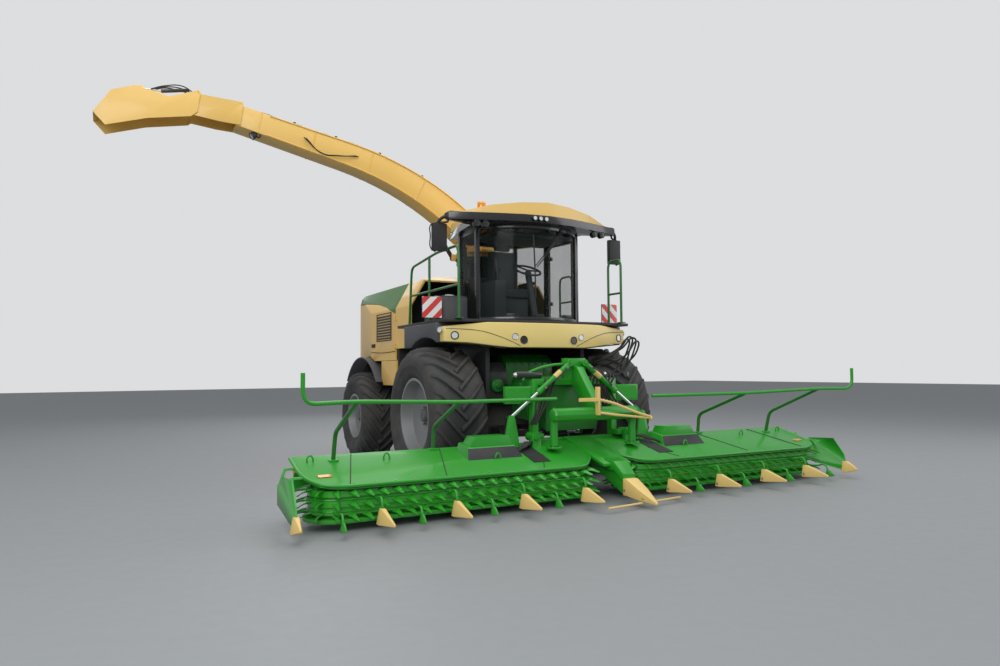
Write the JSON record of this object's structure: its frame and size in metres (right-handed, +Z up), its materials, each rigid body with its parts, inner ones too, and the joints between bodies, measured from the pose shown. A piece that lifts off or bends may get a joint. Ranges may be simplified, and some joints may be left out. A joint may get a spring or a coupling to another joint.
{
  "type": "forage harvester",
  "caption": "Self-propelled forage harvester with a folding row-independent header, a cab, a steered rear axle and a turning discharge chute.",
  "frame": {"origin": "on the ground, below the middle of the front axle", "axes": "+Z up; the machine faces -Y; +X is its left-hand side"},
  "size_m": [9.2565, 7.5453, 5.3099],
  "materials": {
    "bodywork_yellow": "gloss",
    "roof_cream": "gloss",
    "hood_green": "gloss",
    "header_green": "satin",
    "rail_green": "satin",
    "chassis_black": "satin",
    "axle_grey": "satin",
    "engine_grey": "rough",
    "trim_grey": "matte",
    "board_red": "satin",
    "cab_black": "satin",
    "cab_glass": "clear",
    "seat_fabric": "woven",
    "console_plastic": "matte",
    "tyre_rubber": "matte",
    "rim_silver": "satin",
    "ram_black": "satin",
    "ram_chrome": "polished",
    "tine_steel": "worn"
  },
  "bodies": {
    "machine": {"chassis_frame": "chassis_black", "front_axle": "axle_grey", "rear_axle": "axle_grey", "engine_block": "engine_grey", "drum_housing": "header_green", "crop_channel": "chassis_black", "front_fenders": "trim_grey", "platform": "chassis_black", "handrails": "rail_green", "tanks_and_locker": "trim_grey", "warning_boards": "board_red", "front_light_beam": "bodywork_yellow", "cab_frame": "cab_black", "cab_windows": "cab_glass", "cab_roof": "roof_cream", "cab_seat": "seat_fabric", "cab_console": "console_plastic", "mirrors": "trim_grey", "hood_top": "hood_green", "body_panels": "bodywork_yellow", "body_frame": "chassis_black", "rear_fenders": "trim_grey", "rear_bumper": "chassis_black"},
    "cab_door": {"cab_door": "cab_black", "cab_door_glass": "cab_glass"},
    "side_door_right": {"side_door_right": "bodywork_yellow"},
    "side_door_left": {"side_door_left": "bodywork_yellow"},
    "rear_grille": {"rear_grille": "chassis_black"},
    "knuckle_right": {"knuckle_right": "axle_grey"},
    "knuckle_left": {"knuckle_left": "axle_grey"},
    "wheel_front_right": {"tyre_front_right": "tyre_rubber", "rim_front_right": "rim_silver"},
    "wheel_front_left": {"tyre_front_left": "tyre_rubber", "rim_front_left": "rim_silver"},
    "wheel_rear_right": {"tyre_rear_right": "tyre_rubber", "rim_rear_right": "rim_silver"},
    "wheel_rear_left": {"tyre_rear_left": "tyre_rubber", "rim_rear_left": "rim_silver"},
    "chute_turret": {"chute_turret": "bodywork_yellow"},
    "chute_boom": {"chute_boom": "bodywork_yellow"},
    "chute_flap_inner": {"chute_flap_inner": "bodywork_yellow"},
    "chute_flap_outer": {"chute_flap_outer": "bodywork_yellow"},
    "chute_lift_barrel": {"chute_lift_barrel": "ram_black"},
    "chute_lift_rod": {"chute_lift_rod": "ram_chrome"},
    "header": {"intake_housing": "header_green", "header_frame": "header_green"},
    "header_lift_barrels": {"header_lift_barrels": "ram_black"},
    "header_lift_rods": {"header_lift_rods": "ram_chrome"},
    "header_half_right": {"header_deck_right": "header_green", "collector_right": "tine_steel", "dividers_right": "header_green", "guard_bars_right": "header_green"},
    "header_half_left": {"header_deck_left": "header_green", "collector_left": "tine_steel", "dividers_left": "header_green", "guard_bars_left": "header_green"},
    "fold_barrel_right": {"fold_barrel_right": "ram_black"},
    "fold_rod_right": {"fold_rod_right": "ram_chrome"},
    "fold_barrel_left": {"fold_barrel_left": "ram_black"},
    "fold_rod_left": {"fold_rod_left": "ram_chrome"}
  },
  "joints": [
    {"name": "wheel_front_right_spin", "type": "hinge", "parent": "machine", "child": "wheel_front_right", "pos_m": [-1.325, 0, 0.925], "axis": [1, 0, 0], "continuous": true},
    {"name": "wheel_front_left_spin", "type": "hinge", "parent": "machine", "child": "wheel_front_left", "pos_m": [1.325, 0, 0.925], "axis": [1, 0, 0], "continuous": true},
    {"name": "steer_right", "type": "hinge", "parent": "machine", "child": "knuckle_right", "pos_m": [-0.8, 3.25, 0.755], "axis": [0, 0, 1], "range_deg": [-34, 34]},
    {"name": "steer_left", "type": "hinge", "parent": "machine", "child": "knuckle_left", "pos_m": [0.8, 3.25, 0.755], "axis": [0, 0, 1], "range_deg": [-34, 34]},
    {"name": "wheel_rear_right_spin", "type": "hinge", "parent": "knuckle_right", "child": "wheel_rear_right", "pos_m": [-1.215, 3.25, 0.755], "axis": [1, 0, 0], "continuous": true},
    {"name": "wheel_rear_left_spin", "type": "hinge", "parent": "knuckle_left", "child": "wheel_rear_left", "pos_m": [1.215, 3.25, 0.755], "axis": [1, 0, 0], "continuous": true},
    {"name": "cab_door_hinge", "type": "hinge", "parent": "machine", "child": "cab_door", "pos_m": [0.78889, 0.454, 2.85], "axis": [0, 0, 1], "range_deg": [0, 75]},
    {"name": "side_door_right_hinge", "type": "hinge", "parent": "machine", "child": "side_door_right", "pos_m": [-1.266, 1.787, 2.1], "axis": [0, 0, 1], "range_deg": [0, 100]},
    {"name": "side_door_left_hinge", "type": "hinge", "parent": "machine", "child": "side_door_left", "pos_m": [1.266, 1.787, 2.1], "axis": [0, 0, -1], "range_deg": [0, 100]},
    {"name": "rear_grille_hinge", "type": "hinge", "parent": "machine", "child": "rear_grille", "pos_m": [-0.643, 4.416, 2.2], "axis": [0, 0, 1], "range_deg": [0, 95]},
    {"name": "chute_swing", "type": "hinge", "parent": "machine", "child": "chute_turret", "pos_m": [0, 1.4, 3.3], "axis": [0, 0, 1], "range_deg": [-195, 15]},
    {"name": "chute_lift", "type": "hinge", "parent": "chute_turret", "child": "chute_boom", "pos_m": [-0.05, 1.4, 3.62], "axis": [0, 1, 0], "range_deg": [-25, 6]},
    {"name": "flap_inner_hinge", "type": "hinge", "parent": "chute_boom", "child": "chute_flap_inner", "pos_m": [-3.69071, 1.4, 5.22164], "axis": [0, -1, 0], "range_deg": [-5, 35]},
    {"name": "flap_outer_hinge", "type": "hinge", "parent": "chute_flap_inner", "child": "chute_flap_outer", "pos_m": [-4.25105, 1.4, 5.2789], "axis": [0, -1, 0], "range_deg": [-6, 42]},
    {"name": "chute_cylinder_swing", "type": "hinge", "parent": "chute_turret", "child": "chute_lift_barrel", "pos_m": [-0.32, 1.64, 3.36], "axis": [0, 1, 0], "range_deg": [-25, 6]},
    {"name": "chute_cylinder_slide", "type": "slide", "parent": "chute_lift_barrel", "child": "chute_lift_rod", "axis": [-0.5547, 0, 0.8321], "range_m": [-0.1621, 0.0389]},
    {"name": "header_lift", "type": "hinge", "parent": "machine", "child": "header", "pos_m": [0, -0.3, 1.25], "axis": [-1, 0, 0], "range_deg": [0, 15]},
    {"name": "lift_cylinder_swing", "type": "hinge", "parent": "machine", "child": "header_lift_barrels", "pos_m": [0, -0.19, 0.64], "axis": [-1, 0, 0], "range_deg": [0, 11.08]},
    {"name": "lift_cylinder_slide", "type": "slide", "parent": "header_lift_barrels", "child": "header_lift_rods", "axis": [0, -0.9949, 0.1008], "range_m": [0, 0.15059]},
    {"name": "fold_right", "type": "hinge", "parent": "header", "child": "header_half_right", "pos_m": [-0.7, -1.8, 0.72], "axis": [0, 1, 0], "range_deg": [0, 80]},
    {"name": "fold_left", "type": "hinge", "parent": "header", "child": "header_half_left", "pos_m": [0.7, -1.8, 0.72], "axis": [0, -1, 0], "range_deg": [0, 80]},
    {"name": "fold_cylinder_right_swing", "type": "hinge", "parent": "header", "child": "fold_barrel_right", "pos_m": [-0.108, -1.446, 1.616], "axis": [0, 1, 0], "range_deg": [-16.32, 0]},
    {"name": "fold_cylinder_right_slide", "type": "slide", "parent": "fold_barrel_right", "child": "fold_rod_right", "axis": [-0.7979, 0, -0.6027], "range_m": [-0.40621, 0]},
    {"name": "fold_cylinder_left_swing", "type": "hinge", "parent": "header", "child": "fold_barrel_left", "pos_m": [0.108, -1.446, 1.616], "axis": [0, -1, 0], "range_deg": [-16.32, 0]},
    {"name": "fold_cylinder_left_slide", "type": "slide", "parent": "fold_barrel_left", "child": "fold_rod_left", "axis": [0.7979, 0, -0.6027], "range_m": [-0.40621, 0]}
  ],
  "couplings": [
    {"joint": "steer_left", "follows": "steer_right", "ratio": 1},
    {"joint": "flap_outer_hinge", "follows": "flap_inner_hinge", "ratio": 1.2},
    {"joint": "chute_cylinder_swing", "follows": "chute_lift", "ratio": 1},
    {"joint": "chute_cylinder_slide", "follows": "chute_lift", "m_per_rad": 0.3715},
    {"joint": "lift_cylinder_swing", "follows": "header_lift", "ratio": 0.7388},
    {"joint": "lift_cylinder_slide", "follows": "header_lift", "m_per_rad": 0.5752},
    {"joint": "fold_cylinder_right_swing", "follows": "fold_right", "ratio": -0.20407},
    {"joint": "fold_cylinder_right_slide", "follows": "fold_right", "m_per_rad": -0.29093},
    {"joint": "fold_cylinder_left_swing", "follows": "fold_left", "ratio": -0.20407},
    {"joint": "fold_cylinder_left_slide", "follows": "fold_left", "m_per_rad": -0.29093}
  ]
}
